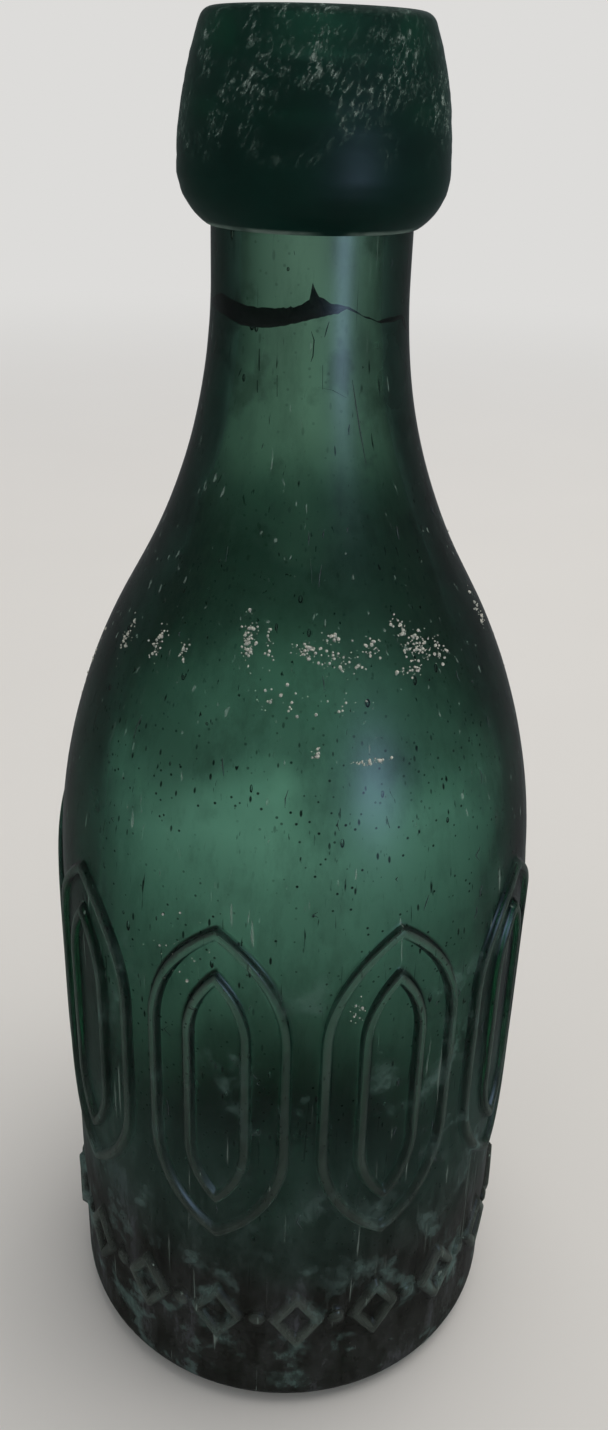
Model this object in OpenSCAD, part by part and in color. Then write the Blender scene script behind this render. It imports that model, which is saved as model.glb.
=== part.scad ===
// Squat mould-blown soda bottle with a blob lip and a loose glass marble as its stopper.
// Millimetres, +Z up. The origin is on the standing surface, on the bottle's axis.
// Gas pressure lifts the marble against a rubber ring in the lip. With no pressure it drops to the floor.

/* [Body] */
// Height from the standing ring to the rim
bottle_h = 184; // [178:1:196]
// Outside diameter of the straight body
body_d = 65.7; // [62.5:0.2:72]
// Wall thickness of the body
body_wall = 4; // [3:0.1:5]
// Radius of the rounded heel
heel_r = 4.5; // [3:0.5:7]
// Width of the flat ring that the bottle stands on
stand_w = 4; // [3:0.5:6]
// Depth of the hollow under the base
push_up = 3; // [2:0.25:4.5]
// Height of the middle of the inside floor
floor_z = 9; // [8:0.25:12]
// Radius of the inside floor's hollow, which keeps the marble in the middle
floor_r = 150; // [110:5:220]
// Radius of the corner between floor and wall
floor_corner_r = 7; // [5:0.5:9]

/* [Shoulder and neck] */
// Radius of the outward shoulder curve
shoulder_r = 83; // [75:1:90]
// Steepest lean of the shoulder from upright, in degrees
shoulder_slope = 29.2; // [26:0.2:30]
// Radius of the inward curve at the foot of the neck
neck_curve_r = 71; // [60:1:76]
// Length of the straight neck between that curve and the lip
neck_l = 5.6; // [3:0.2:9]
// Outside diameter of the neck
neck_d = 23.2; // [22.4:0.2:24.8]
// Wall thickness of the neck
neck_wall = 3.6; // [3:0.1:4]

/* [Lip] */
// Height of the blob lip
lip_h = 21.4; // [20:0.2:24]
// Largest diameter of the lip
lip_d = 30.7; // [29.5:0.2:33]
// Height of the lip's widest line above its lower edge
lip_belly_z = 5.8; // [5:0.2:7.5]
// How far the lip's lower edge stands out from the neck
lip_ledge = 0.2; // [0.1:0.05:0.4]
// Radius of the lip's lower edge
lip_edge_r = 0.8; // [0.5:0.1:1.2]
// Diameter at which the flat rim turns down to the side
rim_d = 22.4; // [20:0.4:24]
// Radius of the rim's outer corner
rim_r = 1.6; // [1:0.1:2.2]
// Diameter of the mouth above the rubber ring
mouth_d = 13; // [12.4:0.1:13.6]
// Radius of the mouth's upper edge
mouth_edge_r = 1.2; // [0.8:0.1:1.6]
// Length of the straight mouth below that edge
mouth_l = 4; // [3.5:0.25:5]
// Glass under the ring's groove, above the end of the neck
ledge_h = 2; // [1.5:0.25:3]

/* [Stopper] */
// Diameter of the marble
marble_d = 14; // [13.4:0.1:15]
// Thickness of the rubber ring
ring_d = 3.8; // [3.4:0.1:4.4]
// How far the rubber ring stands into the mouth
ring_overhang = 0.85; // [0.6:0.05:1.1]
// Gap between the rubber ring and its groove
ring_gap = 0.1; // [0.05:0.05:0.3]
// Gap round the marble at the ledge that the ring rests on
marble_clear = 0.6; // [0.4:0.1:0.9]
// Gap between the marble and the floor that it lies on
marble_gap = 0.1; // [0.05:0.05:0.2]

/* [Raised pattern] */
// Height of the ridges
ridge_h = 0.9; // [0.6:0.1:1.2]
// Width of the ridges
ridge_w = 1.5; // [1.2:0.1:2]
// Number of tall panels round the body
panel_count = 9; // [7:1:10]
// Width of a tall panel
panel_w = 19.4; // [17:0.2:20]
// Height of a tall panel from point to point
panel_h = 52; // [48:1:54]
// Height of the lower points of the tall panels
panel_z = 35; // [33:0.5:37]
// Radius of the sides that close a panel to its points
panel_point_r = 20; // [18:0.5:24]
// Space between a panel's outer and inner ridges
panel_space = 3.6; // [3:0.1:4]
// Turn of the first panel from the front, in degrees
panel_turn = -16; // [-20:1:20]
// Width of a small lozenge
lozenge_w = 7.6; // [6.4:0.2:8.6]
// Height of a small lozenge
lozenge_h = 11; // [9:0.5:12]
// Height of the small lozenges' lower points
lozenge_z = 14; // [12:0.5:17]
// Diameter of the beads between the lozenges
bead_d = 2.4; // [1.6:0.2:3]

/* [Hidden] */
$fn = 96;

glass = "#1f4a3d";
dark_glass = "#12302a";
rubber = "#2b211c";
marble_glass = "#6f9c8c";

body_r = body_d / 2;
neck_r = neck_d / 2;
bore_r = neck_r - neck_wall;
stand_r = body_r - heel_r;
lip_z = bottle_h - lip_h;
mouth_r = mouth_d / 2;

// The groove is cut to the ring, from the top of the bottle down
groove_h = ring_d + 2 * ring_gap;
groove_top_z = bottle_h - mouth_edge_r - mouth_l;
groove_z = groove_top_z - groove_h;
ring_z = groove_z + groove_h / 2;
ring_mid_r = mouth_r - ring_overhang + ring_d / 2;
groove_r = ring_mid_r + ring_d / 2 + ring_gap;
neck_end_z = groove_z - ledge_h;

marble_r = marble_d / 2;
marble_z = floor_z + marble_gap + marble_r;
ledge_r = marble_r + marble_clear;

// The raised pattern
inner_inset = ridge_w + panel_space;
lozenge_count = 2 * panel_count;
border_mid_z = lozenge_z + lozenge_h / 2;
ridge_root = 0.6; // how far the ridges reach into the wall

curve_steps = 16;
corner_steps = 8;

// Points along an arc about [cx, cz], from angle a to angle b
function arc(cx, cz, r, a, b, steps) =
    [for (i = [0:steps]) let (t = a + (b - a) * i / steps) [cx + r * cos(t), cz + r * sin(t)]];

// The flank leans no further than its two curves need to meet, so it never doubles back
flank_reach = min(body_r - neck_r, body_r - body_wall - bore_r);
lean = min(shoulder_slope, acos(max(-1, 1 - flank_reach / (shoulder_r + neck_curve_r))));

// Rise of a flank with these radii: outward curve, straight slope, inward curve
function flank_rise(r_low, r_high, r_out, r_in) =
    (r_out + r_in) * sin(lean) + (r_low - r_high - (r_out + r_in) * (1 - cos(lean))) / tan(lean);

// The shoulder starts where its outside needs to, so as to end at the straight neck
shoulder_z = lip_z - neck_l - flank_rise(body_r, neck_r, shoulder_r, neck_curve_r);

function flank(r_low, r_high, r_out, r_in) = concat(
    arc(r_low - r_out, shoulder_z, r_out, 0, lean, curve_steps),
    arc(r_high + r_in, shoulder_z + flank_rise(r_low, r_high, r_out, r_in), r_in,
        180 + lean, 180, curve_steps));

outer_flank = flank(body_r, neck_r, shoulder_r, neck_curve_r);
inner_flank = flank(body_r - body_wall, bore_r, shoulder_r - body_wall, neck_curve_r + neck_wall);

// Inside floor: a shallow hollow that runs smoothly into the rounded corner at the wall
corner_x = body_r - body_wall - floor_corner_r;
floor_angle = asin(corner_x / (floor_r - floor_corner_r));
corner_z = floor_z + floor_r - (floor_r - floor_corner_r) * cos(floor_angle);

// Half section of the body's glass, from the hollow under the base up to the neck's end and back
module body_outline() {
    hollow_r = stand_r - stand_w;
    hollow_arc_r = (pow(hollow_r, 2) + pow(push_up, 2)) / (2 * push_up);
    hollow_angle = asin(hollow_r / hollow_arc_r);
    polygon(concat(
        arc(0, push_up - hollow_arc_r, hollow_arc_r, 90, 90 - hollow_angle, corner_steps),
        arc(stand_r, heel_r, heel_r, -90, 0, corner_steps),
        outer_flank,
        [[neck_r, neck_end_z], [bore_r, neck_end_z]],
        [for (i = [len(inner_flank) - 1:-1:0]) inner_flank[i]],
        arc(corner_x, corner_z, floor_corner_r, 0, floor_angle - 90, corner_steps),
        arc(0, floor_z + floor_r, floor_r, floor_angle - 90, -90, corner_steps)));
}

// A thin layer on the body's outside that limits the height of the ridges
module relief_layer() {
    rotate_extrude()
        polygon(concat(
            [[body_r + ridge_h, heel_r]],
            [for (p = outer_flank) p + [ridge_h, 0]],
            [for (i = [len(outer_flank) - 1:-1:0]) outer_flank[i] - [ridge_root, 0]],
            [[body_r - ridge_root, heel_r]]));
}

// Turns a flat figure to face outwards at an angle from the front
module on_body(angle, z) {
    rotate([0, 0, angle])
        translate([0, 0, z])
            rotate([90, 0, 0])
                translate([0, 0, body_r / 2])
                    linear_extrude(body_r)
                        children();
}

// Tall panel with straight sides, pointed at both ends, drawn in by an inset
module lancet(inset) {
    point_x = panel_point_r - panel_w / 2;
    point_h = sqrt(pow(panel_point_r, 2) - pow(point_x, 2));
    side_h = panel_h - 2 * point_h;
    square([panel_w - 2 * inset, side_h], center = true);
    for (end = [-1, 1])
        translate([0, end * side_h / 2])
            intersection() {
                translate([-point_x, 0]) circle(panel_point_r - inset);
                translate([point_x, 0]) circle(panel_point_r - inset);
            }
}

module lancet_line(inset) {
    difference() {
        lancet(inset);
        lancet(inset + ridge_w);
    }
}

// Small lozenge, drawn in by an inset at its side corners and in the same shape
module lozenge(inset) {
    half_w = lozenge_w / 2 - inset;
    half_h = lozenge_h * half_w / lozenge_w;
    polygon([[half_w, 0], [0, half_h], [-half_w, 0], [0, -half_h]]);
}

module lozenge_line() {
    difference() {
        lozenge(0);
        lozenge(ridge_w);
    }
}

// Tall panels with a double line, and under them a border of lozenges with beads between
module raised_pattern() {
    intersection() {
        relief_layer();
        union() {
            for (i = [0:panel_count - 1])
                on_body(panel_turn + i * 360 / panel_count, panel_z + panel_h / 2) {
                    lancet_line(0);
                    lancet_line(inner_inset);
                }
            for (i = [0:lozenge_count - 1]) {
                on_body(panel_turn + i * 360 / lozenge_count, border_mid_z) lozenge_line();
                on_body(panel_turn + (i + 0.5) * 360 / lozenge_count, border_mid_z) circle(d = bead_d);
            }
        }
    }
}

// The body is blown in a mould, base to neck, and the mould gives it its raised pattern
module bottle_body() {
    color(glass) {
        rotate_extrude() body_outline();
        raised_pattern();
    }
}

// Radius of an arc that leaves an upright line and runs smoothly into a smaller arc of radius r,
// whose middle lies dx inside that line and dz along it
function joining_r(dx, dz, r) = (dx * dx + dz * dz - r * r) / (2 * (dx - r));

// The lip is a second gather of glass, wound round the end of the neck and tooled to shape
module applied_lip() {
    lip_r = lip_d / 2;
    belly_z = lip_z + lip_belly_z;
    edge_x = neck_r + lip_ledge;
    edge_z = lip_z + lip_edge_r;
    rim_z = bottle_h - rim_r;
    lower_r = joining_r(lip_r - edge_x, belly_z - edge_z, lip_edge_r);
    upper_r = joining_r(lip_r - rim_d / 2, rim_z - belly_z, rim_r);
    lower_angle = asin((belly_z - edge_z) / (lower_r - lip_edge_r));
    upper_angle = asin((rim_z - belly_z) / (upper_r - rim_r));
    mouth_edge_x = mouth_r + mouth_edge_r;
    color(dark_glass)
        rotate_extrude()
            polygon(concat(
                [[neck_r, lip_z]],
                arc(edge_x, edge_z, lip_edge_r, -90, -lower_angle, corner_steps),
                arc(lip_r - lower_r, belly_z, lower_r, -lower_angle, 0, corner_steps),
                arc(lip_r - upper_r, belly_z, upper_r, 0, upper_angle, corner_steps),
                arc(rim_d / 2, rim_z, rim_r, upper_angle, 90, corner_steps),
                arc(mouth_edge_x, bottle_h - mouth_edge_r, mouth_edge_r, 90, 180, corner_steps),
                [[mouth_r, groove_top_z], [groove_r, groove_top_z], [groove_r, groove_z],
                 [ledge_r, groove_z], [ledge_r, neck_end_z], [neck_r, neck_end_z]]));
}

// Rubber ring that the marble seals against, held in the lip's groove
module sealing_ring() {
    color(rubber)
        translate([0, 0, ring_z])
            rotate_extrude()
                translate([ring_mid_r, 0]) circle(d = ring_d);
}

// Loose glass marble, lying on the middle of the floor
module marble_stopper() {
    color(marble_glass)
        translate([0, 0, marble_z]) sphere(marble_r);
}

bottle_body();
applied_lip();
sealing_ring();
marble_stopper();
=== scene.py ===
import math
import random
from functools import partial

import bmesh
import bpy
from mathutils import Matrix, Vector, noise
from mathutils.geometry import delaunay_2d_cdt


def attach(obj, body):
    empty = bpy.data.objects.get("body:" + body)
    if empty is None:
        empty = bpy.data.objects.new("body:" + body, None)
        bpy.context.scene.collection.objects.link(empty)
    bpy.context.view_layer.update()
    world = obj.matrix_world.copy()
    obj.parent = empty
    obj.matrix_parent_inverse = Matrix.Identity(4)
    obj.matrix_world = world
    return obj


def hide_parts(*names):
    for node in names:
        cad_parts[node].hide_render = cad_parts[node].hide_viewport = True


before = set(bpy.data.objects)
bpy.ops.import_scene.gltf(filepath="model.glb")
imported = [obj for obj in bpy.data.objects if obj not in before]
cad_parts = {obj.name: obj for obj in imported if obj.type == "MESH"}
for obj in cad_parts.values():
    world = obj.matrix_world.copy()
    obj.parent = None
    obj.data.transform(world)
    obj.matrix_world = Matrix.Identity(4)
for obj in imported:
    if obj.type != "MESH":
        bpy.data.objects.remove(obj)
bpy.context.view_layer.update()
mm = 0.001
print("frame loaded")


def linearColour(hexColour):
    channels = [int(hexColour[i:i + 2], 16) / 255 for i in (1, 3, 5)]
    return [c / 12.92 if c <= 0.04045 else ((c + 0.055) / 1.055) ** 2.4 for c in channels] + [1.0]


def addNode(tree, kind, inputs=None, output=0, stops=(), **settings):
    # Adds a node and gives back one of its sockets, or the node itself where output is None. The kind goes
    # without its prefix, and a maths node's operation follows it. Inputs are a dictionary, or a list in the
    # sockets' order, and a socket of another node among them becomes a link. Stops are a ramp's places and
    # colours
    prefixes = ("ShaderNode", "GeometryNode", "FunctionNode", "")
    kind, _, operation = kind.partition(" ")
    node = tree.nodes.new(next(p + kind for p in prefixes if hasattr(bpy.types, p + kind)))
    if operation:
        node.operation = operation
    for name, value in settings.items():
        setattr(node, name, value)
    if isinstance(inputs, list):
        inputs = dict(enumerate(inputs))
    for key, value in (inputs or {}).items():
        if isinstance(value, bpy.types.NodeSocket):
            tree.links.new(value, node.inputs[key])
        else:
            node.inputs[key].default_value = value
    for i, (position, colour) in enumerate(stops):
        if i >= len(node.color_ramp.elements):
            node.color_ramp.elements.new(position)
        node.color_ramp.elements[i].position = position
        node.color_ramp.elements[i].color = linearColour(colour)
    return node if output is None or not node.outputs else node.outputs[output]


# settings that come often: of a Map Range node, and of a Mix node for colours
smooth = {"interpolation_type": "SMOOTHSTEP"}
colourMix = {"output": 2, "data_type": "RGBA"}


def smoothStep(low, high, x):
    t = min(max((x - low) / (high - low), 0.0), 1.0)
    return t * t * (3 - 2 * t)


def arcPoints(cx, cz, radius, start, end, steps):
    # degrees, both ends included, as in the part's source
    angles = [math.radians(start + (end - start) * i / steps) for i in range(steps + 1)]
    return [(cx + radius * math.cos(a), cz + radius * math.sin(a)) for a in angles]


def refine(points, spacing):
    # adds points where two lie further apart than the spacing
    out = [points[0]]
    for (r0, z0), (r1, z1) in zip(points, points[1:]):
        parts = max(1, math.ceil(math.hypot(r1 - r0, z1 - z0) / spacing - 1e-6))
        out += [(r0 + (r1 - r0) * i / parts, z0 + (z1 - z0) * i / parts) for i in range(1, parts + 1)]
    return out


def radiusAt(outline, z):
    for (r0, z0), (r1, z1) in zip(outline, outline[1:]):
        if z0 <= z <= z1 and z1 > z0:
            return r0 + (r1 - r0) * (z - z0) / (z1 - z0)
    return outline[0][0] if z < outline[0][1] else outline[-1][0]


def onWall(angle, r, z):
    # a place at an angle from the front, given in mm
    return Vector((r * math.sin(angle), -r * math.cos(angle), z)) * mm


def newObject(name, vertices, faces, material):
    mesh = bpy.data.meshes.new(name)
    mesh.from_pydata([tuple(v) for v in vertices], [], faces)
    mesh.materials.append(material)
    mesh.shade_smooth()
    obj = bpy.data.objects.new(name, mesh)
    bpy.context.scene.collection.objects.link(obj)
    return obj


def outwardNormals(obj):
    work = bmesh.new()
    work.from_mesh(obj.data)
    bmesh.ops.recalc_face_normals(work, faces=work.faces)
    work.to_mesh(obj.data)
    work.free()


def turnedRing(name, outline, segments, material, shape):
    # a closed outline turned round the axis; shape gives a point's place from its angle, radius and height
    vertices, faces, count = [], [], len(outline)
    for i in range(segments):
        vertices += [shape(2 * math.pi * i / segments, r, z) for r, z in outline]
        a, b = i * count, (i + 1) % segments * count
        faces += [(a + j, b + j, b + (j + 1) % count, a + (j + 1) % count) for j in range(count)]
    obj = newObject(name, vertices, faces, material)
    outwardNormals(obj)
    return obj


# Materials

glassBulk = {"colour": "#93e6d2", "density": 215.0}  # light that the glass takes out, per metre of glass
glassSkin = {
    "index": 1.5,
    "slantPower": 0.65,         # under 1: the skin darkens soon after it is met at a slant
    "mirrorColour": "#e8ecf2",
    "diffuseRoughness": 0.6,
}


def patternScale(width):
    # a texture's scale, from the width in mm that its pattern has
    return 1 / (width * mm)


def newMaterial(name):
    material = bpy.data.materials.new(name)
    material.use_nodes = True
    material.node_tree.nodes.clear()
    add = partial(addNode, material.node_tree)
    return material, add, add("TexCoord", output="Object")


def markings(add, vector, values, distortion=0.0, easing="LINEAR"):
    # a noise pattern, and how strongly it shows
    width, detail, roughness, *levels = values
    grain = add("TexNoise", {"Vector": vector, "Scale": patternScale(width), "Detail": detail,
                             "Roughness": roughness, "Distortion": distortion})
    return grain, add("MapRange", [grain, *levels], interpolation_type=easing)


def weatheredGlass(add, tint, scatter, roughness, mirroring, diffuseColour, diffuseShare):
    # Glass with a weathered skin: it lets light through, mirrors little of it, and a diffuse coat covers a
    # share.
    # The matt skin scatters more light away where it is met at a slant
    slant = add("LayerWeight", {"Blend": 0.5}, output="Facing")
    rise = add("Math POWER", [slant, glassSkin["slantPower"]])
    kept = add("MapRange", [rise, 0.0, 1.0, 1.0, scatter])
    passed = add("VectorMath SCALE", {0: tint, "Scale": kept})
    through = add("BsdfRefraction", {"Color": passed, "Roughness": roughness, "IOR": glassSkin["index"]})
    sheen = add("BsdfAnisotropic",
                {"Color": linearColour(glassSkin["mirrorColour"]), "Roughness": mirroring["roughness"]})
    fresnel = add("Fresnel", {"IOR": glassSkin["index"]})
    share = add("Math MULTIPLY", [fresnel, mirroring["share"]])
    clean = add("MixShader", [share, through, sheen])
    # the diffuse coat: dirt and wear, and on the lip also a painted highlight along its foot
    diffuseCoat = add("BsdfDiffuse", {"Color": diffuseColour, "Roughness": glassSkin["diffuseRoughness"]})
    whole = add("MixShader", [diffuseShare, clean, diffuseCoat])
    bulk = add("VolumeAbsorption",
               {"Color": linearColour(glassBulk["colour"]), "Density": glassBulk["density"]})
    add("OutputMaterial", {"Surface": whole, "Volume": bulk})


bodyLook = {
    # noise patterns: width in mm, detail and roughness; the values between which a mark comes in; its
    # strength at both
    "patches": (14, 3, 0.5, 0.35, 0.50, 0.0, 1.0),
    "hairs": (0.6, 2, 0.5, 0.69, 0.75, 0.0, 1.0),
    "mottle": (4.5, 9, 0.74, 0.34, 0.52, 0.76, 1.0),
    "smudges": (6, 5, 0.5, 0.55, 0.66, 0.0, 1.0),
    "grime": (7, 9, 0.76, 0.40, 0.68, 0.42, 1.0),
    "bloom": (7, 7, 0.66, 0.54, 0.72, 0.0, 0.42),
    "scratches": (0.7, 2, 0.5, 0.685, 0.74, 0.0, 0.4),
    # cells: width in mm, and the share of a cell within which its mark fades out
    "pits": (1.3, 0.09, 0.17),
    "nicks": (1.4, 0.08, 0.15),
    # heights in m between which something changes, and its strength at both
    "fewerMarks": (0.104, 0.118, 1.0, 0.3),
    "moreSmudges": (0.12, 0.15, 0.12, 0.42),
    "lessDirt": (0.010, 0.070, 0.8, 0.0),
    "greenerDirt": (0.026, 0.048, 0.0, 0.7),
    "lessBloom": (0.07, 0.092, 1.0, 0.12),
    "rubbedCrests": (0.55, 1.0, 0.03, 0.42),  # by how far up a ridge it lies
    "markedLight": 0.06,                      # light that a pit or nick lets through
    "cloudWidth": 20, "drift": 0.022,         # clouds in mm; how far they move the edges of the film and of the painted shade, in m
    "insideScatter": 0.86, "outsideScatter": 0.09,
    "cloudyRoughness": (0.3, 0.7, 0.1, 0.22), "insideRoughness": 0.16,
    "mirroring": {"roughness": 0.32, "share": 0.14},
    "filmAndShadeHeights": (0.0, 0.184),
    # the film inside, by height, partly painted shade: its dark band from 0.575 to 0.70 of the height,
    # across the shoulder, is painted shade
    "filmAndShade": [(0.00, "#5a5850"), (0.07, "#969f92"), (0.13, "#c2cbc4"), (0.20, "#d2d9d4"), (0.32, "#dee6e1"),
             (0.44, "#fafffd"), (0.515, "#fbfffd"), (0.545, "#d3dcd7"), (0.575, "#96a29c"),
             (0.61, "#82918a"), (0.66, "#7b8c84"), (0.70, "#82918a"), (0.745, "#cbcdc6"),
             (0.785, "#c6c6c0"), (1.00, "#bcbab6")],
    "diffuseCoat": [(0.32, "#2f2c28"), (0.45, "#383a36"), (0.56, "#454847"), (0.68, "#5e6168")],
    "greener": "#5b887b", "crests": "#6f7b74", "flaked": "#7c9994", "scratched": "#a5b8b0",
}


def mouldBlownGlass():
    # Old mould-blown soda glass: dark teal, its skin etched matt by the ground it lay in, clouded by a
    # film inside, with painted shade in a band across the shoulder, and dark with dried dirt in the lowest
    # third
    look = bodyLook
    material, add, place = newMaterial("mouldBlownGlass")
    height = add("SeparateXYZ", {0: place}, output="Z")
    wall = add("Attribute", output="Fac", attribute_name="wall")
    crest = add("Attribute", output="Fac", attribute_name="crest")
    inside = add("Math GREATER_THAN", [wall, 0.75])
    outside = add("Math LESS_THAN", [wall, 0.25])
    skinScatter = add("MapRange", [outside, 0.0, 1.0, look["insideScatter"], look["outsideScatter"]])

    # film inside, and painted shade in a band across the shoulder: their edges drift by a few mm, in cloudy
    # patches
    clouds = add("TexNoise", {"Vector": place, "Scale": patternScale(look["cloudWidth"]), "Detail": 4.0})
    drift = add("Math MULTIPLY_ADD", [clouds, look["drift"], -look["drift"] / 2])
    level = add("Math ADD", [height, drift])
    zone = add("MapRange", [level, *look["filmAndShadeHeights"]])
    # painted shade in this ramp: the dark band across the shoulder
    filmAndShade = add("ValToRGB", {"Fac": zone}, output="Color", stops=look["filmAndShade"])

    # marks outside, in patches and fewer above the belly: pits 0.3 mm wide, short upright nicks, and
    # hair scratches, drawn a little coarser
    patchy = markings(add, place, look["patches"])[1]
    upright = add("Mapping", {"Vector": place, "Scale": (1.0, 1.0, 0.3)})
    cells = []
    for vector, name in ((place, "pits"), (upright, "nicks")):
        width, *fade = look[name]
        distance = add("TexVoronoi", {"Vector": vector, "Scale": patternScale(width)}, output="Distance")
        cells.append(add("MapRange", [distance, *fade, 1.0, 0.0], **smooth))
    drawn = add("Mapping", {"Vector": place, "Scale": (1.0, 1.0, 0.05)})
    hairs = markings(add, drawn, look["hairs"], distortion=0.4)[1]
    belly = add("MapRange", [level, *look["fewerMarks"]], **smooth)
    small = add("Math MAXIMUM", cells)
    for factor in (patchy, belly):
        small = add("Math MULTIPLY", [small, factor])
    marks = add("Math MAXIMUM", [small, hairs])
    light = add("MapRange", [marks, 0.0, 1.0, 1.0, look["markedLight"]])
    # a mottled skin, and dark smudges 2 to 4 mm wide, most of them on the neck
    uneven = markings(add, upright, look["mottle"])[1]
    blotted = markings(add, place, look["smudges"], easing="SMOOTHSTEP")[1]
    neckward = add("MapRange", [level, *look["moreSmudges"]])
    smudged = add("Math MULTIPLY", [blotted, neckward])
    clear = add("Math SUBTRACT", [1.0, smudged])
    for factor in (uneven, clear):
        light = add("Math MULTIPLY", [light, factor])
    skin = add("CombineXYZ", [light, light, light])
    tint = add("Mix", {0: inside, 6: skin, 7: filmAndShade}, **colourMix)

    # dried dirt outside, drawn upright: mostly on the lowest third, and a little on the ridges' crests
    grime, shaped = markings(add, upright, look["grime"])
    low = add("MapRange", [level, *look["lessDirt"]], **smooth)
    crown = add("MapRange", [crest, *look["rubbedCrests"]], **smooth)
    covered, rubbed = [add("Math MULTIPLY", [part, shaped]) for part in (low, crown)]
    cover = add("Math MAXIMUM", [covered, rubbed])
    # milky bloom where the glass has begun to flake, in spots 2 to 4 mm wide over the pattern
    spots = markings(add, place, look["bloom"])[1]
    lower = add("MapRange", [level, *look["lessBloom"]], **smooth)
    bloom = add("Math MULTIPLY", [spots, lower])
    # pale hair scratches that run down at a slant, 0.1 mm wide
    leaning = add("Mapping", {"Vector": place, "Rotation": (0.35, 0.5, 0.0), "Scale": (1.0, 1.0, 0.035)})
    pale = markings(add, leaning, look["scratches"], distortion=0.3)[1]
    diffuseShare = add("Math MULTIPLY", [cover, outside])
    for layer in (bloom, pale):
        outer = add("Math MULTIPLY", [layer, outside])
        diffuseShare = add("Math MAXIMUM", [diffuseShare, outer])

    diffuseColour = add("ValToRGB", {"Fac": grime}, output="Color", stops=look["diffuseCoat"])
    greener = add("MapRange", [level, *look["greenerDirt"]])
    paler = add("Math MULTIPLY", [crest, 0.7])
    flaked = add("MapRange", [bloom, 0.0, 0.3, 0.0, 0.8])
    scratched = add("Math MULTIPLY", [pale, 2.4])
    tones = {"greener": greener, "crests": paler, "flaked": flaked, "scratched": scratched}
    for name, share in tones.items():
        diffuseColour = add("Mix", {0: share, 6: diffuseColour, 7: linearColour(look[name])}, **colourMix)
    cloudy = add("MapRange", [clouds, *look["cloudyRoughness"]])
    roughness = add("Math MULTIPLY_ADD", [inside, look["insideRoughness"], cloudy])
    weatheredGlass(add, tint, skinScatter, roughness, look["mirroring"], diffuseColour, diffuseShare)
    return material


lipLook = {
    # noise patterns, as for the body
    "strokes": (0.7, 8, 0.85, 0.515, 0.66, 0.0, 1.0),
    "patches": (6, 3, 0.5, 0.40, 0.62, 0.0, 1.0),
    "veil": (0.3, 0.7, 0.2, 0.3),               # thin dirt, by the same noise as the patches
    "twist": -28.0,                             # radians by which the scuffs turn per metre of height
    # heights in m between which something changes, and its strength at both
    "scuffed": (0.1685, 0.1715, 0.0, 1.0),
    # a painted highlight: where the pale line along the lip's foot edge lies, and its strength
    "edgeHighlight": (0.16285, 0.16325, 0.4, 0.0),
    "tintHeights": (0.162, 0.184),
    "tint": [(0.0, "#a2a6a4"), (0.4, "#aeb4b1"), (0.6, "#cdd5d2"), (0.85, "#dfe5e3")],
    # colours of the thin dirt, and of the scuffs and the painted highlight at the lip's foot
    "diffuseCoat": "#1d4a40", "scuffAndHighlight": "#a9b8b1",
    "scatter": 0.08, "roughness": 0.42, "mirroring": {"roughness": 0.45, "share": 0.13},
}


def tooledLipGlass():
    # A second gather of the same glass, tooled while hot: nearly black for being thick, its skin matt
    # from wear, with pale slanting scuffs over its upper three quarters and a painted highlight along its
    # foot's edge
    look = lipLook
    material, add, place = newMaterial("tooledLipGlass")
    height = add("SeparateXYZ", {0: place}, output="Z")
    twist = add("Math MULTIPLY", [height, look["twist"]])
    slanted = add("VectorRotate", {"Vector": place, "Angle": twist}, rotation_type="Z_AXIS")
    drawn = add("Mapping", {"Vector": slanted, "Scale": (1.0, 1.0, 0.6)})
    strong = markings(add, drawn, look["strokes"])[1]
    moved = add("VectorMath ADD", {0: place, 1: (0.031, 0.0, 0.0)})
    patches, patchy = markings(add, moved, look["patches"])
    upper = add("MapRange", [height, *look["scuffed"]], **smooth)
    where = add("Math MULTIPLY", [patchy, upper])
    strokes = add("Math MULTIPLY", [strong, where])
    # painted highlight: a pale line along the edge at the lip's foot, broken up in patches, in the scuffs'
    # colour
    edge = add("MapRange", [height, *look["edgeHighlight"]], **smooth)
    edgeHighlight = add("Math MULTIPLY", [edge, patchy])
    scuffsAndHighlight = add("Math MAXIMUM", [strokes, edgeHighlight])
    veil = add("MapRange", [patches, *look["veil"]])
    diffuseShare = add("Math ADD", [scuffsAndHighlight, veil])
    diffuseColour = add("Mix", {0: scuffsAndHighlight, 6: linearColour(look["diffuseCoat"]), 7: linearColour(look["scuffAndHighlight"])},
                     **colourMix)
    lift = add("MapRange", [height, *look["tintHeights"]])
    tint = add("ValToRGB", {"Fac": lift}, output="Color", stops=look["tint"])
    weatheredGlass(add, tint, look["scatter"], look["roughness"], look["mirroring"], diffuseColour, diffuseShare)
    return material


grainedLooks = {
    # the grain's width in mm, detail, distortion and share of its height; colours; roughness, even or
    # between two values of the grain
    "grainLevels": (0.3, 0.7),
    # Natural rubber gone hard: nearly black, matt, with a brown bloom
    "perishedRubber": {"grain": (1.2, 5, 0.0, None), "colours": [(0.3, "#1c1815"), (0.7, "#3a322b")],
                       "roughness": (0.55, 0.8)},
    # Pale green glass of a rolled marble: clear, polished, with faint streaks
    "rolledMarbleGlass": {"grain": (5, 3, 1.4, 0.4), "colours": [(0.35, "#9fcfbd"), (0.65, "#c9e6da")],
                          "roughness": (0.02, 0.08), "clear": {"IOR": 1.5, "Transmission Weight": 1.0}},
    # What the crack in the neck glass and the deeper scratches show: near black and dull
    "crackAndScratchBlack": {"grain": (1.5, 3, 0.0, None), "colours": [(0.35, "#040a09"), (0.7, "#16211f")],
                     "roughness": (0.8,)},
    # Limescale from ground water: chalky off-white crumbs, greyer where they are thin
    "limeCrust": {"grain": (0.4, 4, 0.0, None), "roughness": (0.85,),
                  "colours": [(0.3, "#7d847e"), (0.5, "#aeb0a6"), (0.7, "#d0cdc2")]},
}


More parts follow.
